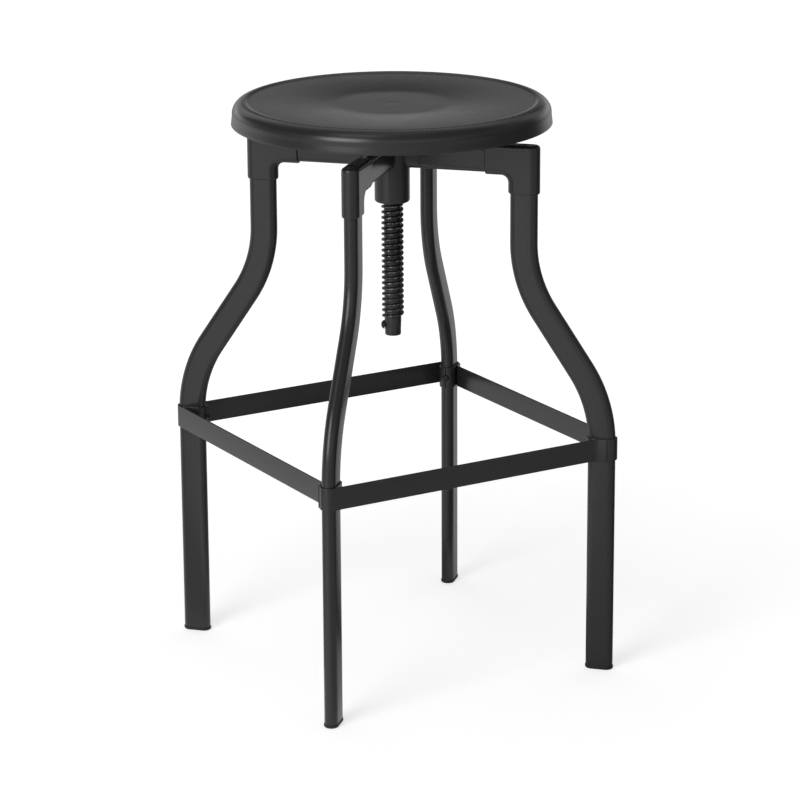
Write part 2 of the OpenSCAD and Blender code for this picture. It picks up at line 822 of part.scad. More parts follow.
seat_pan();
seat_bracket();
seat_weld_nuts();
seat_screws();
spindle_flange();
spindle();
stop_screw();
thrust_washer();
hub();
arm(0);  // arm_front_left
arm(1);  // arm_front_right
arm(2);  // arm_back_right
arm(3);  // arm_back_left
elbow(0);  // elbow_front_left
elbow(1);  // elbow_front_right
elbow(2);  // elbow_back_right
elbow(3);  // elbow_back_left
leg(0);  // leg_front_left
leg(1);  // leg_front_right
leg(2);  // leg_back_right
leg(3);  // leg_back_left
leg_inserts();
leg_bolts();
collar(0);  // collar_front_left
collar(1);  // collar_front_right
collar(2);  // collar_back_right
collar(3);  // collar_back_left
strap(0);  // strap_front
strap(1);  // strap_right
strap(2);  // strap_back
strap(3);  // strap_left
collar_screws();
collar_nuts();
foot(0);  // foot_front_left
foot(1);  // foot_front_right
foot(2);  // foot_back_right
foot(3);  // foot_back_left
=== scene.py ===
"""Bar stool with a round steel seat on a screw spindle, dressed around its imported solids."""

import json
from math import acos, asin, atan2, cos, floor, hypot, pi, radians, sin, sqrt, tan

import bmesh
import bpy
from mathutils import Matrix, Quaternion, Vector

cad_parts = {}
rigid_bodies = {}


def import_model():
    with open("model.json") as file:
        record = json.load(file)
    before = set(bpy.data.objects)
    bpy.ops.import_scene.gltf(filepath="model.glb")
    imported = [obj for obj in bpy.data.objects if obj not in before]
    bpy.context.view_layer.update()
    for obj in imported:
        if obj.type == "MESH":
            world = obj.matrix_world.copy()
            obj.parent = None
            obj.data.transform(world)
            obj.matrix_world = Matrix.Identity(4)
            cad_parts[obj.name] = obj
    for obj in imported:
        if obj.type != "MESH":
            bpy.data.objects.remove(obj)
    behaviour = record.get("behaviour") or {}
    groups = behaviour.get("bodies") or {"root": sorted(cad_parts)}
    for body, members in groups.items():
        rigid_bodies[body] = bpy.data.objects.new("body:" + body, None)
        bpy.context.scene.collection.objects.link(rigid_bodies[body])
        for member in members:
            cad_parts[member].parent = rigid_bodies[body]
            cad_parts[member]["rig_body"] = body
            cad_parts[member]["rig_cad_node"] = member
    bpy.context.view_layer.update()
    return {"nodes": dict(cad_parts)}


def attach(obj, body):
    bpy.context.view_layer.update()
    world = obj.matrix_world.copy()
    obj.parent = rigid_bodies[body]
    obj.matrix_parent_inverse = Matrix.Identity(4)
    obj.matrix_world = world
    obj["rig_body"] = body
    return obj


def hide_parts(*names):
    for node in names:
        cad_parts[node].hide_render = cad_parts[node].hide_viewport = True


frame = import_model()
nodes = frame["nodes"]

# The hub. One iron casting, threaded inside for the spindle, with four stubs that carry the arms.
# Its corners are soft from the mould, the sand still shows a little under the satin black powder,
# and the arms are pushed over its spigots. Nothing else holds the frame together in the middle.

MM = 0.001


class Wire:
    """A value inside a finish. Sums and products written on it add Math nodes."""

    def __init__(self, finish, socket):
        self.finish = finish
        self.socket = socket

    def __add__(self, other):
        return self.finish.math("ADD", self, other)

    __radd__ = __add__

    def __sub__(self, other):
        return self.finish.math("SUBTRACT", self, other)

    def __rsub__(self, other):
        return self.finish.math("SUBTRACT", other, self)

    def __mul__(self, other):
        return self.finish.math("MULTIPLY", self, other)

    __rmul__ = __mul__

    def __truediv__(self, other):
        return self.finish.math("DIVIDE", self, other)

    def __rtruediv__(self, other):
        return self.finish.math("DIVIDE", other, self)

    def clamped(self):
        return self.finish.math("ADD", self, 0.0, clamp=True)


class Finish:
    """A material being mixed: its nodes, its shader, and one way to add a node."""

    def __init__(self, name, **constants):
        self.material = bpy.data.materials.new(name)
        self.material.use_nodes = True
        self.tree = self.material.node_tree
        self.shader = self.tree.nodes["Principled BSDF"]
        for socket, value in constants.items():
            self.shader.inputs[socket.replace("_", " ")].default_value = value

    def node(self, kind, settings, sockets, output=0):
        made = self.tree.nodes.new(kind)
        for key, value in settings.items():
            if key == "stops":
                ramp = made.color_ramp
                while len(ramp.elements) < len(value):
                    ramp.elements.new(1.0)
                for element, (place, tone) in zip(ramp.elements, value):
                    element.position = place
                    element.color = (tone, tone, tone, 1.0)
            else:
                setattr(made, key, value)
        for key, value in sockets.items():
            if isinstance(value, Wire):
                self.tree.links.new(value.socket, made.inputs[key])
            else:
                made.inputs[key].default_value = value
        return Wire(self, made.outputs[output])

    def feed(self, **sockets):
        for socket, wire in sockets.items():
            self.tree.links.new(wire.socket, self.shader.inputs[socket.replace("_", " ")])

    def math(self, operation, a, b, clamp=False):
        settings = {"operation": operation, "use_clamp": clamp}
        return self.node("ShaderNodeMath", settings, {0: a, 1: b})

    def vector(self, operation, a, b=(0.0, 0.0, 0.0), output=0):
        return self.node("ShaderNodeVectorMath", {"operation": operation}, {0: a, 1: b}, output)

    def place(self):
        """Position on the piece, in metres, which rides with the piece."""
        return self.node("ShaderNodeTexCoord", {}, {}, "Object")

    def height(self):
        return self.node("ShaderNodeSeparateXYZ", {}, {0: self.place()}, "Z")

    def noise(self, grain, detail=2.0, roughness=0.5, stretch=None):
        """Noise of so many waves in a metre."""
        at = self.place()
        if stretch:
            at = self.vector("MULTIPLY", at, stretch)
        sockets = {"Vector": at, "Scale": grain, "Detail": detail, "Roughness": roughness}
        return self.node("ShaderNodeTexNoise", {"noise_dimensions": "3D"}, sockets)

    def ramp(self, wire, *stops):
        return self.node("ShaderNodeValToRGB", {"stops": stops}, {0: wire})

    def patches(self, grain, edge, **noise):
        """Mask of the places where noise is high: 0 up to edge's first value, 1 from its second."""
        low, high = edge
        return self.ramp(self.noise(grain, **noise), (low, 0.0), (high, 1.0))

    def tint(self, share, low, high):
        """Mixes two colours, each given as numbers or as a wire."""
        low, high = (tone if isinstance(tone, Wire) else (*tone, 1.0) for tone in (low, high))
        return self.node("ShaderNodeMix", {"data_type": "RGBA"}, {0: share, 6: low, 7: high}, 2)

    def bump(self, height, metres, over=None):
        sockets = {"Height": height, "Distance": metres}
        if over:
            sockets["Normal"] = over
        return self.node("ShaderNodeBump", {}, sockets)


# Grain is in waves a metre and depth in metres. Edge is where a patch of noise begins and is full, and
# tone and gloss are what it adds to the colour and to the roughness
COAT = (0.021, 0.021, 0.0222)
COAT_WORN = (0.034, 0.034, 0.0352)
COAT_GLOSS = 0.27
CLOUD_GRAIN, CLOUD_TONE, CLOUD_GLOSS = 38.0, 0.35, 0.03
SPECK_GRAIN, SPECK_EDGE, SPECK_TONE = 1500.0, (0.7, 0.78), 0.06
SMEAR_GRAIN, SMEAR_EDGE, SMEAR_GLOSS = 90.0, (0.52, 0.72), 0.015
SMEAR_STRETCH = (1.0, 1.0, 0.25)
CLEAN_GLOSS = 0.02
RUB_TONE, RUB_GLOSS = 0.8, 0.1
PEEL_GRAIN, PEEL_DEPTH = 420.0, 0.022 * MM
SKIN_GRAIN, SKIN_DEPTH = 1700.0, 0.003 * MM
SAND_GRAIN, SAND_DEPTH = 260.0, 0.12 * MM


def powder_coat(name, gloss=COAT_GLOSS, peel=1.0, grit=0.0, brightened=None):
    """Satin black powder coat: fine orange peel, faint cloudy tone and handling marks.

    gloss is the roughness, peel the share of the orange peel's depth, grit that of the sand marks of
    a casting under it. rubbed may give a 0 to 1 mask of where shoes or hands have polished it.
    """
    finish = Finish(name, Roughness=gloss, Specular_IOR_Level=0.5)
    cloud = finish.noise(CLOUD_GRAIN, detail=1.0)
    speck = finish.patches(SPECK_GRAIN, SPECK_EDGE, detail=1.0)
    smear = finish.patches(SMEAR_GRAIN, SMEAR_EDGE, detail=4.0, stretch=SMEAR_STRETCH)
    tone = cloud * CLOUD_TONE + speck * SPECK_TONE
    roughness = gloss - CLEAN_GLOSS + cloud * CLOUD_GLOSS + smear * SMEAR_GLOSS
    if brightened:
        mask = brightened(finish)
        tone = tone + mask * RUB_TONE
        roughness = roughness - mask * RUB_GLOSS
    finish.feed(Base_Color=finish.tint(tone.clamped(), COAT, COAT_WORN), Roughness=roughness)
    skin = finish.bump(finish.noise(PEEL_GRAIN, detail=1.0), PEEL_DEPTH * peel)
    skin = finish.bump(finish.noise(SKIN_GRAIN, detail=1.0), SKIN_DEPTH * peel, over=skin)
    if grit:
        sand = finish.noise(SAND_GRAIN, detail=4.0, roughness=0.6)
        skin = finish.bump(sand, SAND_DEPTH * grit, over=skin)
    finish.feed(Normal=skin)
    return finish.material


def stand_for(piece, node, body="frame"):
    """The piece takes the CAD node's place and rides on its body."""
    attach(piece, body)
    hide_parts(node)


SAME_CAD_POINT = 0.001 * MM
EASE = 0.5


def cast_copy(name, node, material, grain, rounds, keep_out=0.0):
    """The node's own shape with the soft corners of a casting; its bore inside keep_out stays crisp.

    The shape is made again in cubes of the size grain, and its corners are eased so many rounds.
    """
    piece = nodes[node].copy()
    piece.data = nodes[node].data.copy()
    piece.name = name
    piece.parent = None
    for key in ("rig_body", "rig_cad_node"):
        if key in piece:
            del piece[key]
    bpy.context.scene.collection.objects.link(piece)
    sculpt = bmesh.new()
    sculpt.from_mesh(piece.data)
    bmesh.ops.remove_doubles(sculpt, verts=sculpt.verts, dist=SAME_CAD_POINT)
    sculpt.to_mesh(piece.data)
    sculpt.free()
    remesh = piece.modifiers.new("skin", "REMESH")
    remesh.mode = "VOXEL"
    remesh.voxel_size = grain
    held = bpy.context.evaluated_depsgraph_get()
    bpy.context.view_layer.update()
    cast = bpy.data.meshes.new_from_object(piece.evaluated_get(held))
    piece.modifiers.clear()
    piece.data = cast
    sculpt = bmesh.new()
    sculpt.from_mesh(cast)
    soft = [v for v in sculpt.verts if hypot(v.co.x, v.co.y) > keep_out]
    axes = {"use_axis_x": True, "use_axis_y": True, "use_axis_z": True}
    for _ in range(rounds):
        bmesh.ops.smooth_vert(sculpt, verts=soft, factor=EASE, **axes)
    sculpt.to_mesh(cast)
    sculpt.free()
    cast.shade_smooth()
    cast.materials.clear()
    cast.materials.append(material)
    return piece


HUB_GRAIN = 0.7 * MM
HUB_ROUNDS = 8
HUB_BORE = 14.5 * MM

CAST_COAT = powder_coat("cast_coat", peel=0.6, grit=0.2)
hub = cast_copy("hub_casting", "hub", CAST_COAT, HUB_GRAIN, HUB_ROUNDS, keep_out=HUB_BORE)
stand_for(hub, "hub")

# The arms. Four short lengths of the same flat-oval steel tube as the legs, level between the hub and
# the elbows. They are pushed over the hub's spigots and into the elbows, and powder coated with them.
# Seen from below, the joint at each end is a fine dark line.

CORNERS = ("front_left", "front_right", "back_right", "back_left")
FIRST_CORNER = 225
CORNER_TURN = {corner: radians(FIRST_CORNER + 90 * k) for k, corner in enumerate(CORNERS)}
TUBE_WIDE = 31.5 * MM
TUBE_THICK = 15.5 * MM
TUBE_WALL = 1.5 * MM
TUBE_AROUND = 36
ARM_HEIGHT = 592.75 * MM
ARM_START = 34.2 * MM
ARM_END = 133.0 * MM
ARM_STEPS = 8
SAME_POINT = 0.0001 * MM
SHARP = 32.0


def mesh_piece(name, vertices, faces, material, sharp=SHARP):
    """A closed mesh piece, smooth apart from the corners above sharp degrees."""
    mesh = bpy.data.meshes.new(name)
    mesh.from_pydata(vertices, [], faces)
    mesh.validate()
    sculpt = bmesh.new()
    sculpt.from_mesh(mesh)
    bmesh.ops.remove_doubles(sculpt, verts=sculpt.verts, dist=SAME_POINT)
    bmesh.ops.dissolve_degenerate(sculpt, edges=sculpt.edges, dist=SAME_POINT)
    bmesh.ops.recalc_face_normals(sculpt, faces=sculpt.faces)
    sculpt.to_mesh(mesh)
    sculpt.free()
    mesh.shade_smooth()
    mesh.set_sharp_from_angle(angle=radians(sharp))
    mesh.materials.append(material)
    piece = bpy.data.objects.new(name, mesh)
    bpy.context.scene.collection.objects.link(piece)
    return piece


def swung(x, y, z, turn):
    """A point swung round the axis of the spindle."""
    return (x * cos(turn) - y * sin(turn), x * sin(turn) + y * cos(turn), z)


def oval(wide, thick):
    """Points round a flat oval, long side along the first coordinate."""
    reach = (wide - thick) / 2
    half = TUBE_AROUND // 2
    points = []
    for side in (1, -1):
        for i in range(half + 1):
            turn = (-pi / 2 + pi * i / half) + (0 if side > 0 else pi)
            points.append((side * reach + thick / 2 * cos(turn), thick / 2 * sin(turn)))
    return points


def joined(rings, loop=False):
    """Quads between rings of points; an open run of rings is closed with a face at each end."""
    count = len(rings[0])
    vertices = [point for ring in rings for point in ring]
    faces = []
    last = len(rings) if loop else len(rings) - 1
    for r in range(last):
        a = r * count
        b = ((r + 1) % len(rings)) * count
        for i in range(count):
            j = (i + 1) % count
            faces.append((a + i, a + j, b + j, b + i))
    if not loop:
        faces.append(tuple(reversed(range(count))))
        faces.append(tuple(range((len(rings) - 1) * count, len(rings) * count)))
    return vertices, faces


def tube(name, stations, turn, material):
    """Flat-oval tube through (distance out, height, lean) stations, turned to its corner."""
    skins = (
        (oval(TUBE_WIDE, TUBE_THICK), stations),
        (oval(TUBE_WIDE - 2 * TUBE_WALL, TUBE_THICK - 2 * TUBE_WALL), stations[::-1]),
    )
    rings = []
    for section, order in skins:
        for out, up, lean in order:
            ring = [
                swung(out + along * cos(lean), across, up + along * sin(lean), turn)
                for along, across in section
            ]
            rings.append(ring)
    vertices, faces = joined(rings, loop=True)
    return mesh_piece(name, vertices, faces, material)


TUBE_COAT = powder_coat("tube_coat", peel=0.3)
arm_run = [
    (ARM_START + (ARM_END - ARM_START) * i / ARM_STEPS, ARM_HEIGHT, -pi / 2) for i in range(ARM_STEPS + 1)
]
for corner in CORNERS:
    arm = tube("arm_tube_" + corner, arm_run, CORNER_TURN[corner], TUBE_COAT)
    stand_for(arm, "arm_" + corner)

# The elbows. Four castings, each with a level mouth that takes its arm and a downward mouth that takes
# its leg, with rounded lips and a small fillet in the crook.
# A flush countersunk bolt holds each one down on the leg; its black head sits in the flat top.

ELBOW_GRAIN = 0.6 * MM
ELBOW_ROUNDS = 7

for corner in CORNERS:
    elbow = cast_copy("elbow_casting_" + corner, "elbow_" + corner, CAST_COAT, ELBOW_GRAIN, ELBOW_ROUNDS)
    stand_for(elbow, "elbow_" + corner)


def clouded(name, grain, tones, gloss, haze, skin, depth, **constants):
    """Plain stuff, a little clouded: its tone goes between two colours and its gloss with it.

    gloss is the least roughness and haze what the clouds add; skin is the grain of its fine surface.
    """
    finish = Finish(name, **constants)
    cloud = finish.noise(grain, detail=3.0)
    finish.feed(Base_Color=finish.tint(cloud, *tones), Roughness=cloud * haze + gloss)
    finish.feed(Normal=finish.bump(finish.noise(skin), depth))
    return finish.material


def dress(names, material):
    """Gives CAD nodes that stay as they are their real finish."""
    for name in names:
        for slot in nodes[name].material_slots:
            slot.material = material


BLACK_TONES = ((0.018, 0.018, 0.019), (0.05, 0.05, 0.052))
ZINC_TONES = ((0.42, 0.43, 0.45), (0.62, 0.62, 0.6))
BLACK_OXIDE = clouded(
    "black_oxide", grain=700.0, tones=BLACK_TONES, gloss=0.3, haze=0.15, skin=2200.0, depth=0.02 * MM,
    Metallic=0.6, Roughness=0.38,
)
ZINC = clouded(
    "zinc_plate", grain=260.0, tones=ZINC_TONES, gloss=0.22, haze=0.25, skin=1500.0, depth=0.02 * MM,
    Metallic=1.0, Roughness=0.35,
)
dress(["leg_bolts"], BLACK_OXIDE)
dress(["leg_inserts"], ZINC)

# The legs. Four lengths of flat-oval steel tube, bent twice: out from the elbow, then upright again
# above the footrest. The long side of the oval points at the spindle.
# Each one runs from its foot cap up into its elbow, in one piece, powder coated satin black.

LEG_BASE = 4.0 * MM
LEG_TOP = 604.0 * MM
FOOT_OUT = 245.0 * MM
SHOULDER_OUT = 153.0 * MM
BEND_START = 272.0 * MM
LEAN = radians(33.7)
LOW_BEND = 151.0 * MM
HIGH_BEND = 142.0 * MM
FOOT_STEPS = 12
BEND_STEPS = 24
SLOPE_STEPS = 6
slope = (FOOT_OUT - SHOULDER_OUT - (LOW_BEND + HIGH_BEND) * (1 - cos(LEAN))) / sin(LEAN)

leg_run = []
for i in range(FOOT_STEPS):
    leg_run.append((FOOT_OUT, LEG_BASE + (BEND_START - LEG_BASE) * i / FOOT_STEPS, 0.0))
for i in range(BEND_STEPS + 1):
    a = LEAN * i / BEND_STEPS
    leg_run.append((FOOT_OUT - LOW_BEND * (1 - cos(a)), BEND_START + LOW_BEND * sin(a), a))
low_out, low_up, _ = leg_run[-1]
for i in range(1, SLOPE_STEPS + 1):
    s = slope * i / SLOPE_STEPS
    leg_run.append((low_out - s * sin(LEAN), low_up + s * cos(LEAN), LEAN))
top_out, top_up, _ = leg_run[-1]
centre_out, centre_up = top_out + HIGH_BEND * cos(LEAN), top_up + HIGH_BEND * sin(LEAN)
for i in range(1, BEND_STEPS + 1):
    a = LEAN * (BEND_STEPS - i) / BEND_STEPS
    leg_run.append((centre_out - HIGH_BEND * cos(a), centre_up - HIGH_BEND * sin(a), a))
for i in range(1, SLOPE_STEPS + 1):
    leg_run.append((SHOULDER_OUT, centre_up + (LEG_TOP - centre_up) * i / SLOPE_STEPS, 0.0))

for corner in CORNERS:
    leg = tube("leg_tube_" + corner, leg_run, CORNER_TURN[corner], TUBE_COAT)
    stand_for(leg, "leg_" + corner)

# The foot caps. Black moulded plastic, one in the lower end of each leg, with a plug inside the tube
# and a lip that stands a little proud of it. Their lower edge is rounded.
# The plastic is duller than the coat above it and greyed with floor scuffs underneath.

CAP_WIDE = 32.9 * MM
CAP_THICK = 16.9 * MM
CAP_HIGH = 4.0 * MM
CAP_ROUND = 2.0 * MM
CAP_SOLE = 8.0 * MM
CAP_EDGE = 0.5 * MM
CAP_SOFT = 0.15 * MM
CAP_STEPS = 6
PLUG_IN = 2.4 * MM
PLUG_HIGH = 18 * MM
PLUG_TIP_IN = 3.0 * MM
PLUG_TIP = 20 * MM
THINNEST = 0.2 * MM
PLASTIC_TONES = ((0.016, 0.016, 0.016), (0.06, 0.058, 0.055))
PLASTIC_GLOSS = 0.5
SCUFF_GRAIN, SCUFF_EDGE, SCUFF_GLOSS = 420.0, (0.5, 0.75), 0.12
MOULD_GRAIN, MOULD_DEPTH = 1800.0, 0.05 * MM


def foot_plastic():
    """Matt black plastic with a fine moulded grain and grey scuffs near the floor."""
    finish = Finish("foot_plastic", Roughness=0.55, Specular_IOR_Level=0.4)
    scuff = finish.patches(SCUFF_GRAIN, SCUFF_EDGE, detail=5.0)
    low = (1 - finish.height() / CAP_HIGH).clamped()
    tone = finish.tint(scuff * low, *PLASTIC_TONES)
    finish.feed(Base_Color=tone, Roughness=scuff * SCUFF_GLOSS + PLASTIC_GLOSS)
    finish.feed(Normal=finish.bump(finish.noise(MOULD_GRAIN), MOULD_DEPTH))
    return finish.material


def arc(x, y, radius, start, stop, steps):
    """Points on an arc, with both of its ends."""
    turns = [start + (stop - start) * i / steps for i in range(steps + 1)]
    return [(x + radius * cos(a), y + radius * sin(a)) for a in turns]


# How far the cap draws in from its widest, and at what height
cap_profile = [
    (CAP_SOLE, 0.0),
    *arc(CAP_ROUND, CAP_ROUND, CAP_ROUND, 3 * pi / 2, pi, CAP_STEPS),
    (0.0, CAP_HIGH - CAP_EDGE),
    (CAP_SOFT, CAP_HIGH - CAP_SOFT),
    (CAP_EDGE, CAP_HIGH),
    (PLUG_IN, CAP_HIGH),
    (PLUG_IN, CAP_HIGH + PLUG_HIGH),
    (PLUG_TIP_IN, CAP_HIGH + PLUG_TIP),
]

FOOT_PLASTIC = foot_plastic()
for corner in CORNERS:
    rings = []
    for inset, up in cap_profile:
        section = oval(CAP_WIDE - 2 * inset, max(CAP_THICK - 2 * inset, THINNEST))
        rings.append([swung(FOOT_OUT + along, across, up, CORNER_TURN[corner]) for along, across in section])
    vertices, faces = joined(rings)
    cap = mesh_piece("foot_cap_" + corner, vertices, faces, FOOT_PLASTIC)
    stand_for(cap, "foot_" + corner)

# The footrest. Steel strip 25.5 mm high and 2 mm thick: a collar bent round each leg, closed with a
# screw where its ends meet on the inner side, and four straps between the collars.
# Each strap leaves one collar at a tangent and is bent to lie flat on the next one.

STRIP_LOW = 253.0 * MM
STRIP_HIGH = 278.5 * MM
STRIP = 2.0 * MM
STRIP_EDGE = 0.55 * MM
EDGE_STEPS = 4
COLLAR_ROOM = 0.1 * MM
COLLAR_INNER = TUBE_THICK / 2 + COLLAR_ROOM
COLLAR_MIDDLE = COLLAR_INNER + STRIP / 2
COLLAR_STEPS = 16
OVAL_REACH = (TUBE_WIDE - TUBE_THICK) / 2
SEAM = 1.0 * MM
LANDING_IN = 4.0 * MM
TAB = 12.0 * MM
HUG = radians(3.0)
HUG_STEPS = 6
KNEE_ROUND = 8.0 * MM
STRAP_STEPS = 8
RUB_DOWN = 4 * MM
RUB_GRAIN, RUB_EDGE = 55.0, (0.45, 0.65)


def strip_section():
    """Section of the strip, (across, up), with rolled edges."""
    side = STRIP / 2 - STRIP_EDGE
    low, high = STRIP_LOW + STRIP_EDGE, STRIP_HIGH - STRIP_EDGE
    edges = ((side, low, -pi / 2), (side, high, 0.0), (-side, high, pi / 2), (-side, low, pi))
    points = []
    for across, up, start in edges:
        points += arc(across, up, STRIP_EDGE, start, start + pi / 2, EDGE_STEPS)
    return points


def strip_run(name, plan, turn, material):
    """Strip bent along a plan line, its middle on the line."""
    section = strip_section()
    rings = []
    for i, (x, y) in enumerate(plan):
        x0, y0 = plan[max(i - 1, 0)]
        x1, y1 = plan[min(i + 1, len(plan) - 1)]
        length = hypot(x1 - x0, y1 - y0)
        nx, ny = (y1 - y0) / length, -(x1 - x0) / length
        rings.append([swung(x + nx * across, y + ny * across, up, turn) for across, up in section])
    vertices, faces = joined(rings)
    return mesh_piece(name, vertices, faces, material)


def shoe_rub(finish):
    """Mask of the upper edge of the strip, where shoes rub it."""
    top = ((finish.height() - (STRIP_HIGH - RUB_DOWN)) / RUB_DOWN).clamped()
    return top * finish.patches(RUB_GRAIN, RUB_EDGE, detail=4.0)


STRAP_COAT = powder_coat("strap_coat", peel=0.3, brightened=shoe_rub)

round_in, round_out = FOOT_OUT - OVAL_REACH, FOOT_OUT + OVAL_REACH
seam_out = round_in - sqrt(COLLAR_MIDDLE**2 - (SEAM / 2) ** 2)
collar_plan = [
    (seam_out, -SEAM / 2),
    *arc(round_in, 0.0, COLLAR_MIDDLE, pi, 3 * pi / 2, COLLAR_STEPS)[1:],
    (FOOT_OUT, -COLLAR_MIDDLE),
    *arc(round_out, 0.0, COLLAR_MIDDLE, -pi / 2, pi / 2, 2 * COLLAR_STEPS),
    (FOOT_OUT, COLLAR_MIDDLE),
    *arc(round_in, 0.0, COLLAR_MIDDLE, pi / 2, pi, COLLAR_STEPS)[:-1],
    (seam_out, SEAM / 2),
]

wrap = Vector((round_out, 0.0))
landing = Vector((COLLAR_INNER + STRIP + STRIP / 2, FOOT_OUT - LANDING_IN))
reach = landing - wrap
heading = atan2(reach.y, reach.x) + asin(COLLAR_MIDDLE / reach.length)
right_of_it = Vector((sin(heading), -cos(heading)))
leave = wrap + COLLAR_MIDDLE * right_of_it
bend_by = heading - pi / 2
knee = landing - Vector((cos(heading), sin(heading))) * (KNEE_ROUND * tan(bend_by / 2))
knee_centre = knee + KNEE_ROUND * right_of_it
straight = [leave + (knee - leave) * (i / STRAP_STEPS) for i in range(1, STRAP_STEPS + 1)]
strap_plan = [
    *arc(wrap.x, wrap.y, COLLAR_MIDDLE, bend_by - HUG, bend_by, HUG_STEPS),
    *((point.x, point.y) for point in straight),
    *arc(knee_centre.x, knee_centre.y, KNEE_ROUND, heading + pi / 2, pi, STRAP_STEPS)[1:],
    (landing.x, landing.y + TAB),
]

STRAPS = ("strap_front", "strap_right", "strap_back", "strap_left")
for corner, side in zip(CORNERS, STRAPS):
    turn = CORNER_TURN[corner]
    collar = strip_run("collar_strip_" + corner, collar_plan, turn, STRAP_COAT)
    stand_for(collar, "collar_" + corner)
    strap = strip_run(side + "_strip", strap_plan, turn, STRAP_COAT)
    stand_for(strap, side)

dress(["collar_screws"], BLACK_OXIDE)
dress(["collar_nuts"], ZINC)

# The spindle. A one inch steel screw with a right-hand rolled thread, four turns to the inch, and a
# plain tail that the stop screw crosses. It is blackened and oiled, so it shines more than the
# coated pieces, and it turns in the hub with the seat.

THREAD_OUT = 12.7 * MM
THREAD_ROOT = 9.6 * MM
LEAD = 6.35 * MM
THREAD_LOW = 399.575 * MM
THREAD_FOOT = THREAD_LOW - 0.6 * LEAD
TAIL_LOW = 381.475 * MM
TAIL_OUT = 9.2 * MM
NECK_LOW = 605.0 * MM
NECK_OUT = 9.8 * MM
NECK_HIGH = 640.0 * MM
NECK_BLEND = 0.5 * LEAD
AROUND = 64
ROWS_A_TURN = 22
SPARE_TURNS = 2
# The thread grows over this share of a turn at its foot, and fades below the neck
RUN_OUT = 0.45
FADE_END = 0.75 * LEAD
FADE_OVER = 0.6 * LEAD
# Half the width of the ridge at its foot and at its crown, as shares of the lead, and the crown's drop
RIDGE_HALF = 0.29
CROWN_HALF = 0.155
CROWN_DROP = 0.10
# The step from the root of the thread down to the tail, and the soft corner above it
TAIL_STEP = 0.6 * MM
STEP_SOFT_IN, STEP_SOFT_DOWN = 0.25 * MM, 0.15 * MM
# How far the tail's end draws in and how far up, in millimetres
TAIL_LIP = ((0.0, 1.5), (0.2, 0.75), (0.75, 0.2), (1.5, 0.0), (4.0, 0.0))
STOP_HIGH = 393.175 * MM
STOP_TURN = radians(150.0)
STOP_HOLE = 3.15 * MM
BLIND_HIGH = STOP_HIGH - 7.0 * MM
BLIND_TURN = STOP_TURN + radians(130.0)
BLIND_HOLE = 1.5 * MM
PAST_TAIL = 1.5 * TAIL_OUT


def ridge_rise(share):
    """How far the ridge stands out, 0 to 1, along one lead from the foot of its lower flank."""
    off = abs(share - RIDGE_HALF)
    if off < CROWN_HALF:
        return 1.0 - CROWN_DROP * (off / CROWN_HALF) ** 2
    if off < RIDGE_HALF:
        t = (RIDGE_HALF - off) / (RIDGE_HALF - CROWN_HALF)
        return (1.0 - CROWN_DROP) * t * t * (3 - 2 * t)
    return 0.0


def kept_within(value, low=0.0, high=1.0):
    """The value, or the nearer end where it lies outside."""
    return min(max(value, low), high)


def spindle_mesh():
    """The screw as upright columns of points whose rows climb with the thread."""
    rows = (int(floor((NECK_LOW - THREAD_LOW) / LEAD)) + 2 * SPARE_TURNS) * ROWS_A_TURN
    vertices, faces = [], []
    for i in range(AROUND):
        a = 2 * pi * i / AROUND
        for j in range(rows + 1):
            z = THREAD_LOW + LEAD * (j / ROWS_A_TURN - SPARE_TURNS + i / AROUND)
            z = kept_within(z, THREAD_FOOT, NECK_LOW)
            grown = kept_within((j // ROWS_A_TURN - SPARE_TURNS + i / AROUND) / RUN_OUT)
            faded = kept_within((NECK_LOW - FADE_END - z) / FADE_OVER)
            rise = ridge_rise((j % ROWS_A_TURN) / ROWS_A_TURN) * grown * faded
            neck = kept_within((z - NECK_LOW + NECK_BLEND) / NECK_BLEND)
            r = THREAD_ROOT + (NECK_OUT - THREAD_ROOT) * neck + (THREAD_OUT - THREAD_ROOT) * rise
            vertices.append((r * cos(a), r * sin(a), z))
    column = rows + 1
    for i in range(AROUND):
        shift = ROWS_A_TURN if i == AROUND - 1 else 0
        k = (i + 1) % AROUND
        for j in range(rows - shift):
            here, there = i * column + j, k * column + j + shift
            faces.append((here, there, there + 1, here + 1))

    def ring(radius, z):
        start = len(vertices)
        for i in range(AROUND):
            a = 2 * pi * i / AROUND
            vertices.append((radius * cos(a), radius * sin(a), z))
        return start

    def bridge(a, b):
        for i in range(AROUND):
            k = (i + 1) % AROUND
            faces.append((a + i, a + k, b + k, b + i))

    tail = [
        (THREAD_ROOT, THREAD_FOOT),
        (THREAD_ROOT - STEP_SOFT_IN, THREAD_FOOT - STEP_SOFT_DOWN),
        (TAIL_OUT, THREAD_FOOT - TAIL_STEP),
        (TAIL_OUT, (THREAD_FOOT + TAIL_LOW) / 2),
        *((TAIL_OUT - into * MM, TAIL_LOW + up * MM) for into, up in TAIL_LIP),
    ]
    chain = [ring(radius, z) for radius, z in tail]
    for a, b in zip(chain[1:], chain[:-1]):
        bridge(a, b)
    faces.append(tuple(chain[-1] + i for i in reversed(range(AROUND))))
    first = ring(NECK_OUT, NECK_LOW)
    second = ring(NECK_OUT, NECK_HIGH)
    bridge(first, second)
    faces.append(tuple(second + i for i in range(AROUND)))
    return vertices, faces


STEEL_TONES = ((0.022, 0.022, 0.023), (0.055, 0.055, 0.056))
OIL_AND_SHADE_TONE = (0.006, 0.006, 0.006)
GLINT_TONE = (0.3, 0.3, 0.3)
STEEL_GLOSS = 0.2
MOTTLE_GRAIN, MOTTLE_TONE, MOTTLE_GLOSS = 240.0, 0.7, 0.16
GREASE_GRAIN, GREASE_EDGE, GREASE_TONE, GREASE_GLOSS = 95.0, (0.42, 0.62), 0.3, 0.08
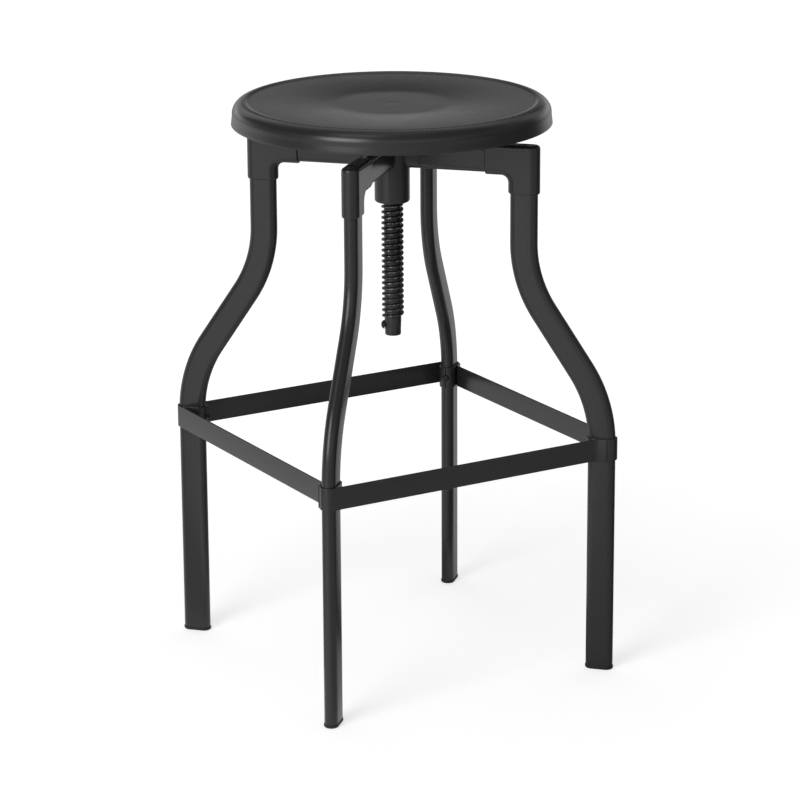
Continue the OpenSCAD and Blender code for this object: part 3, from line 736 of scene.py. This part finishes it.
# Darker from this height up, over this much: oil, and painted shade under the hub and seat
OIL_AND_SHADE_FROM, OIL_AND_SHADE_BLEND, OIL_AND_SHADE_SHARE, OIL_GLOSS = 430.0 * MM, 50.0 * MM, 0.7, 0.06
# The painted glints on the crests begin at these shares of the thread's radius
GLINT_CREST_EDGE = (0.975, 0.99)
GLINT_GRAIN, GLINT_EDGE, GLINT_SHARE, GLINT_GLOSS = 330.0, (0.5, 0.62), 0.6, 0.1
ROLLED_GRAIN, ROLLED_DEPTH = 900.0, 0.06 * MM


def spindle_black():
    """Blackened steel, darker towards the hub with oil and painted shade: mottled, with painted glints on its
    crests in places.
    """
    finish = Finish("spindle_black", Metallic=0.35, Roughness=0.3, Specular_IOR_Level=0.55)
    mottle = finish.noise(MOTTLE_GRAIN, detail=4.0)
    grease = finish.patches(GREASE_GRAIN, GREASE_EDGE, detail=3.0)
    flat = finish.vector("MULTIPLY", finish.place(), (1.0, 1.0, 0.0))
    reach = finish.vector("LENGTH", flat, output="Value") / THREAD_OUT
    crest = finish.ramp(reach, (GLINT_CREST_EDGE[0], 0.0), (GLINT_CREST_EDGE[1], 1.0))
    # Painted glints: in patches the crests are made lighter in colour, standing in for highlights
    brightened = crest * finish.patches(GLINT_GRAIN, GLINT_EDGE) * GLINT_SHARE
    steel = finish.tint((mottle * MOTTLE_TONE + grease * GREASE_TONE).clamped(), *STEEL_TONES)
    # Darker towards the hub: partly oil, partly painted shade under the hub and seat
    oil_and_shade = ((finish.height() - OIL_AND_SHADE_FROM) / OIL_AND_SHADE_BLEND).clamped() * OIL_AND_SHADE_SHARE
    tone = finish.tint(brightened, finish.tint(oil_and_shade, steel, OIL_AND_SHADE_TONE), GLINT_TONE)
    gloss = mottle * MOTTLE_GLOSS + grease * GREASE_GLOSS - brightened * GLINT_GLOSS - oil_and_shade * OIL_GLOSS
    finish.feed(Base_Color=tone, Roughness=gloss + STEEL_GLOSS)
    finish.feed(Normal=finish.bump(finish.noise(ROLLED_GRAIN, detail=3.0), ROLLED_DEPTH))
    return finish.material


def drilled(piece, azimuth, height, radius, inner, outer, around=24):
    """Bores a level round hole into a closed piece, between two distances from the spindle's axis."""
    turn = Matrix.Rotation(azimuth, 4, "Z") @ Matrix.Rotation(pi / 2, 4, "Y")
    rings = []
    for reach in (inner, outer):
        points = [turn @ Vector((x, y, reach)) for x, y in arc(0.0, 0.0, radius, 0.0, 2 * pi, around)[:-1]]
        rings.append([(point.x, point.y, point.z + height) for point in points])
    vertices, faces = joined(rings)
    bit = mesh_piece("bit", vertices, faces, piece.data.materials[0])
    cut = piece.modifiers.new("cut", "BOOLEAN")
    cut.operation, cut.solver, cut.object = "DIFFERENCE", "EXACT", bit
    bpy.context.view_layer.update()
    whole = piece.evaluated_get(bpy.context.evaluated_depsgraph_get())
    holed = bpy.data.meshes.new_from_object(whole)
    piece.modifiers.clear()
    piece.data = holed
    bpy.data.objects.remove(bit)


vertices, faces = spindle_mesh()
screw = mesh_piece("spindle_screw", vertices, faces, spindle_black(), sharp=50.0)
drilled(screw, STOP_TURN, STOP_HIGH, STOP_HOLE, -PAST_TAIL, PAST_TAIL)
drilled(screw, BLIND_TURN, BLIND_HIGH, BLIND_HOLE, TAIL_OUT / 2, PAST_TAIL)
stand_for(screw, "spindle", "seat")
dress(["stop_screw"], BLACK_OXIDE)

# The washer. A plain ring of natural nylon on the neck of the spindle, between the boss and the hub.
# It keeps the steel boss off the casting and rises with the seat without turning.

RING_IN = 9.9 * MM
RING_OUT = 19.0 * MM
RING_LOW = 610.0 * MM
RING_HIGH = 614.0 * MM
RING_EDGE = 0.4 * MM
RING_SOFT = 0.12 * MM
NYLON_TONES = ((0.5, 0.47, 0.4), (0.66, 0.63, 0.56))


def lathed(name, profile, material, around, sharp=SHARP, loop=False):
    """A turned piece from a profile of (radius, height) points, a loop or one that ends at the axis."""
    rings = []
    for r, z in profile:
        rings.append([(r * cos(2 * pi * i / around), r * sin(2 * pi * i / around), z) for i in range(around)])
    vertices, faces = joined(rings, loop)
    return mesh_piece(name, vertices, faces, material, sharp)


NYLON = clouded(
    "nylon", grain=160.0, tones=NYLON_TONES, gloss=0.42, haze=0.15, skin=1300.0, depth=0.03 * MM,
    Roughness=0.5, Subsurface_Weight=0.1,
)
ring_profile = [
    (RING_IN, RING_LOW),
    (RING_OUT - RING_EDGE, RING_LOW),
    (RING_OUT - RING_SOFT, RING_LOW + RING_SOFT),
    (RING_OUT, RING_LOW + RING_EDGE),
    (RING_OUT, RING_HIGH - RING_EDGE),
    (RING_OUT - RING_SOFT, RING_HIGH - RING_SOFT),
    (RING_OUT - RING_EDGE, RING_HIGH),
    (RING_IN, RING_HIGH),
]
washer = lathed("thrust_ring", ring_profile, NYLON, around=128, loop=True)
stand_for(washer, "thrust_washer", "carrier")

# The flange and the bracket. The flange is a round plate on a boss, welded to the spindle; four screws
# go up through it into nuts on the bracket, a pressed steel dish that is spot-welded under the seat.
# Both are coated like the seat, with a little more peel in the coat.

BRACKET_COAT = powder_coat("bracket_coat", gloss=0.28, peel=1.0, grit=0.15)
dress(["spindle_flange", "seat_bracket"], BRACKET_COAT)
dress(["seat_weld_nuts"], ZINC)
dress(["seat_screws"], BLACK_OXIDE)

# The seat. One round of 1.5 mm steel sheet, pressed: a rolled rim with a short flared skirt, a fine
# groove inside the rim, a shallow dish, and a flat recess in the middle with the small mark of the
# press. No seams and no cushion. The powder coat has faint handling marks on the dish.

SEAT_OUT = 180.5 * MM
SHEET = 1.5 * MM
RECESS_HIGH = 649.5 * MM
RECESS_OUT = 58.0 * MM
RECESS_DEEP = 3.3 * MM
RECESS_BLEND = 240.0 * MM
RIM_STEP = 1.2 * MM
BEAD_ROUND = 6.0 * MM
GROOVE_ROUND = 6.0 * MM
RIM_ROUND = 14.0 * MM
RIM_TALL = 26.0 * MM
FLARE = radians(7.0)
# Radii of the flat recess and of the mark in it, in millimetres
FLAT_RINGS = (15, 30, 45, 55)
MARK_RINGS = (0.3, 1.3, 2.2, 3.1, 4.0)
MARK_DEEP = 0.07 * MM
INNER_START = 0.4 * MM
LIP_DROP = 0.55 * MM
LIP_FLAT = 0.7
LIP_STEPS = 8
SKIRT_STEPS = 4
BLEND_STEPS, DISH_STEPS, BEAD_STEPS, ROLL_STEPS = 12, 40, 8, 28
SEAT_AROUND = 256
dish_high = RECESS_HIGH + RECESS_DEEP
crest = dish_high + RIM_STEP
rim_out = SEAT_OUT - (RIM_ROUND + (RIM_TALL - RIM_ROUND) * sin(FLARE)) / cos(FLARE)
flank_turn = acos(1 - RIM_STEP / (BEAD_ROUND + GROOVE_ROUND))
groove_out = rim_out - (BEAD_ROUND + GROOVE_ROUND) * sin(flank_turn)
dish_turn = 2 * atan2(RECESS_DEEP, groove_out - RECESS_OUT)
dish_round = (groove_out - RECESS_OUT) / sin(dish_turn) - RECESS_BLEND


def skin_line(depth, middle):
    """Profile of one face of the sheet, from the points in its middle to the end of the rolled rim."""
    down, up = -pi / 2, pi / 2
    flat = [(r * MM, RECESS_HIGH - depth) for r in FLAT_RINGS]
    blend_high, groove_high = RECESS_HIGH + RECESS_BLEND, dish_high + GROOVE_ROUND
    blend = arc(RECESS_OUT, blend_high, RECESS_BLEND + depth, down, down + dish_turn, BLEND_STEPS)
    dish = arc(groove_out, dish_high - dish_round, dish_round - depth, up + dish_turn, up, DISH_STEPS)
    groove = arc(groove_out, groove_high, GROOVE_ROUND + depth, down, down + flank_turn, BEAD_STEPS)
    bead = arc(rim_out, crest - BEAD_ROUND, BEAD_ROUND - depth, up + flank_turn, up, BEAD_STEPS)
    roll = arc(rim_out, crest - RIM_ROUND, RIM_ROUND - depth, up, -FLARE, ROLL_STEPS)
    return [*middle, *flat, *blend, *dish[1:], *groove[1:], *bead[1:], *roll[1:]]


def skirt_end(line, length):
    """Where a face of the sheet ends, this far down the flare of the skirt."""
    return (line[-1][0] + length * sin(FLARE), line[-1][1] - length * cos(FLARE))


def steps_to(line, end):
    """Even steps from the last point of a line to a new end."""
    (x0, z0), (x1, z1) = line[-1], end
    shares = [i / SKIRT_STEPS for i in range(1, SKIRT_STEPS + 1)]
    return [(x0 + (x1 - x0) * share, z0 + (z1 - z0) * share) for share in shares]


mark = [(r * MM, RECESS_HIGH - MARK_DEEP * (1 - (r / MARK_RINGS[-1]) ** 2)) for r in MARK_RINGS]
outer = skin_line(0.0, mark)
inner = skin_line(SHEET, [(INNER_START, RECESS_HIGH - SHEET)])
skirt = (outer[-1][1] - (crest - RIM_TALL)) / cos(FLARE) - LIP_DROP
lip_outer, lip_inner = skirt_end(outer, skirt), skirt_end(inner, skirt)
lip_middle = ((lip_outer[0] + lip_inner[0]) / 2, (lip_outer[1] + lip_inner[1]) / 2)
lip = []
for i in range(1, LIP_STEPS):
    a = -FLARE - pi * i / LIP_STEPS
    lip.append((lip_middle[0] + SHEET / 2 * cos(a), lip_middle[1] + SHEET / 2 * LIP_FLAT * sin(a)))
outer += steps_to(outer, lip_outer)
inner += steps_to(inner, lip_inner)

HAND_GRAIN, HAND_EDGE, HAND_SHARE = 14.0, (0.5, 0.72), 0.3


def hand_marks(finish):
    """Faint mask of where hands and clothes have touched the dish."""
    return finish.patches(HAND_GRAIN, HAND_EDGE) * HAND_SHARE


SEAT_COAT = powder_coat("seat_coat", peel=0.12, brightened=hand_marks)
seat = lathed("seat_pressing", outer + lip + inner[::-1], SEAT_COAT, SEAT_AROUND, sharp=40.0)
stand_for(seat, "seat_pan", "seat")

# The studio. A plain pale floor that keeps the stool's shadow, a white surround, and soft square
# lamps: three on the left of the camera and two weak ones on the far side.
# The camera stands in front of the stool at the height and angle of the photograph.

scene = bpy.context.scene
scene.view_settings.view_transform = "Standard"

CAMERA_AT = Vector((-1.7312, -3.14822, 1.3706))
CAMERA_TO = Vector((0.00696, -0.0028, 0.30274))
CAMERA_LEAN = -0.0055
lens = bpy.data.cameras.new("camera")
lens.lens = 146.904
lens.sensor_width = 36.0
lens.clip_end = 50.0
camera = bpy.data.objects.new("camera", lens)
camera.location = CAMERA_AT
camera.rotation_mode = "QUATERNION"
level_view = (CAMERA_TO - CAMERA_AT).to_track_quat("-Z", "Y")
camera.rotation_quaternion = level_view @ Quaternion((0.0, 0.0, 1.0), CAMERA_LEAN)
scene.collection.objects.link(camera)
scene.camera = camera

# To the camera the surround is white. To the stool its four sides are this bright at these heights in
# degrees, and the floor and the foot of the walls are this bright at these azimuths in degrees
SIDE_TURNS = (61, 151, 241, 331)
FAR, LEFT, NEAR, RIGHT = (Vector((cos(radians(a)), sin(radians(a)), 0.0)) for a in SIDE_TURNS)
GLOW_HEIGHTS = (0, 7, 16, 30, 50, 72)
WALL_GLOW = (
    (FAR, (0.10, 0.10, 0.02, 0.15, 0.95, 0.40)),
    (LEFT, (0.10, 0.32, 0.22, 0.05, 0.05, 0.20)),
    (NEAR, (0.33, 0.66, 1.00, 0.20, 0.20, 0.20)),
    (RIGHT, (0.00, 0.05, 0.12, 0.25, 0.08, 0.20)),
)
CEILING_GLOW = 0.60
FLOOR_GLOW = (
    (-180, 0.75), (-150, 1.20), (-120, 0.52), (-90, 0.44), (-60, 0.40), (-30, 0.08), (6, 0.10), (22, 0.70),
    (34, 0.70), (52, 0.25), (74, 0.25), (86, 0.60), (96, 0.62), (106, 0.80), (138, 0.82), (160, 0.50),
)
FOOT_GLOW = (
    (-45, 0.0), (-30, 0.2), (5, 0.0), (24, 1.0), (36, 1.0), (56, 0.45), (70, 0.50), (86, 1.0), (96, 1.0),
    (130, 0.0),
)
# A ramp holds values up to 1, so brightness is divided by this in it and multiplied after it
RAMP_TOP = 2.0
# To the camera the paper shines this much near the stool and further out, on top of the lamps' light
PAPER_WHITE = (0.8, 0.8, 0.8)
PAPER_LIFT_NEAR = 0.62
PAPER_LIFT_FAR = 0.78
PAPER_REACH = 1.2
PAPER_BLEND = (0.3, 1.0)
BLACK = (0.0, 0.0, 0.0)
WHITE = (1.0, 1.0, 1.0)
FLOOR_HALF = 30


def facing(mix, direction, side):
    """How much a level direction looks to one side: the shares of the four sides add up to 1."""
    level = mix.vector("NORMALIZE", mix.vector("MULTIPLY", direction, (1.0, 1.0, 0.0)))
    toward = mix.math("MAXIMUM", mix.vector("DOT_PRODUCT", level, side, "Value"), 0.0)
    return toward * toward


def compass(mix, direction, levels):
    """The level that belongs to the azimuth of a direction, blended between the given ones."""
    east, north = (mix.node("ShaderNodeSeparateXYZ", {}, {0: direction}, axis) for axis in "XY")
    turn = mix.math("ARCTAN2", north, east) * (0.5 / pi) + 0.5
    shades = ((azimuth / 360 + 0.5, level / RAMP_TOP) for azimuth, level in levels)
    return mix.ramp(turn, *shades) * RAMP_TOP


def floor_paper():
    """White paper: it takes the stool's shadow, and looks white to the camera and in reflections."""
    finish = Finish("floor_paper", Roughness=0.9, Specular_IOR_Level=0.0, Emission_Strength=1.0)
    seen, glossy = (
        finish.node("ShaderNodeLightPath", {}, {}, ray) for ray in ("Is Camera Ray", "Is Glossy Ray")
    )
    glow = compass(finish, finish.place(), FLOOR_GLOW)
    away = finish.vector("LENGTH", finish.place(), output="Value") / PAPER_REACH
    near, far = PAPER_BLEND
    white = seen * finish.ramp(away, (near, PAPER_LIFT_NEAR), (far, PAPER_LIFT_FAR))
    finish.feed(
        Base_Color=finish.tint((1.0 - glossy).clamped(), BLACK, PAPER_WHITE),
        Emission_Color=finish.tint(white + glossy * glow, BLACK, WHITE),
    )
    return finish.material


floor_corners = [(x * FLOOR_HALF, y * FLOOR_HALF, 0) for x, y in ((-1, -1), (1, -1), (1, 1), (-1, 1))]
floor_mesh = bpy.data.meshes.new("floor")
floor_mesh.from_pydata(floor_corners, [], [(0, 1, 2, 3)])
floor_object = bpy.data.objects.new("floor", floor_mesh)
scene.collection.objects.link(floor_object)
floor_mesh.materials.append(floor_paper())


def onto_ramp(value):
    """From -1 to 1 onto 0 to 1, as a ramp needs it."""
    return value * 0.5 + 0.5


class Sky(Finish):
    """The white surround, mixed in the same way as a finish."""

    def __init__(self):
        self.world = bpy.data.worlds.new("studio")
        self.world.use_nodes = True
        self.tree = self.world.node_tree
        self.shader = self.tree.nodes["Background"]


UNDER_HORIZON = 0.4995

sky = Sky()
scene.world = sky.world
seen = sky.node("ShaderNodeLightPath", {}, {}, "Is Camera Ray")
direction = sky.node("ShaderNodeTexCoord", {}, {}, "Generated")
rise = onto_ramp(sky.node("ShaderNodeSeparateXYZ", {}, {0: direction}, "Z"))
stops = [onto_ramp(sin(radians(height))) for height in (*GLOW_HEIGHTS, 90)]
foot = sky.ramp(rise, (UNDER_HORIZON, 0.0), (stops[0], 1.0), (stops[1], 1.0), (stops[2], 0.0))
glow = foot * compass(sky, direction, FOOT_GLOW)
glow = glow + sky.ramp(rise, (stops[-2], 0.0), (stops[-1], CEILING_GLOW / RAMP_TOP)) * RAMP_TOP
for side, levels in WALL_GLOW:
    shades = [(stop, bright / RAMP_TOP) for stop, bright in zip(stops, (*levels, 0.0))]
    glow = glow + sky.ramp(rise, *shades) * facing(sky, direction, side) * RAMP_TOP
sky.feed(Strength=glow * (1.0 - seen) + seen)
sky.shader.inputs["Color"].default_value = (*WHITE, 1.0)

LAMP_AWAY = 3.0
LAMP_AIM = Vector((0.0, 0.0, 0.45))


def softbox(name, azimuth, height, size, watts):
    """A square lamp that looks at the stool from the given azimuth and height in degrees."""
    lamp = bpy.data.lights.new(name, "AREA")
    lamp.shape = "SQUARE"
    lamp.size = size
    lamp.energy = watts
    a, e = radians(azimuth), radians(height)
    box = bpy.data.objects.new(name, lamp)
    box.location = LAMP_AIM + LAMP_AWAY * Vector((cos(e) * cos(a), cos(e) * sin(a), sin(e)))
    box.rotation_mode = "QUATERNION"
    box.rotation_quaternion = (LAMP_AIM - box.location).to_track_quat("-Z", "Y")
    scene.collection.objects.link(box)


softbox("lamp_left", azimuth=206, height=21, size=1.4, watts=30.0)
softbox("lamp_left_small", azimuth=206, height=21, size=0.7, watts=4.0)
softbox("lamp_left_high", azimuth=206, height=60, size=1.2, watts=5.0)
softbox("lamp_far", azimuth=90, height=30, size=1.2, watts=2.5)
softbox("lamp_far_right", azimuth=20, height=25, size=1.2, watts=1.5)
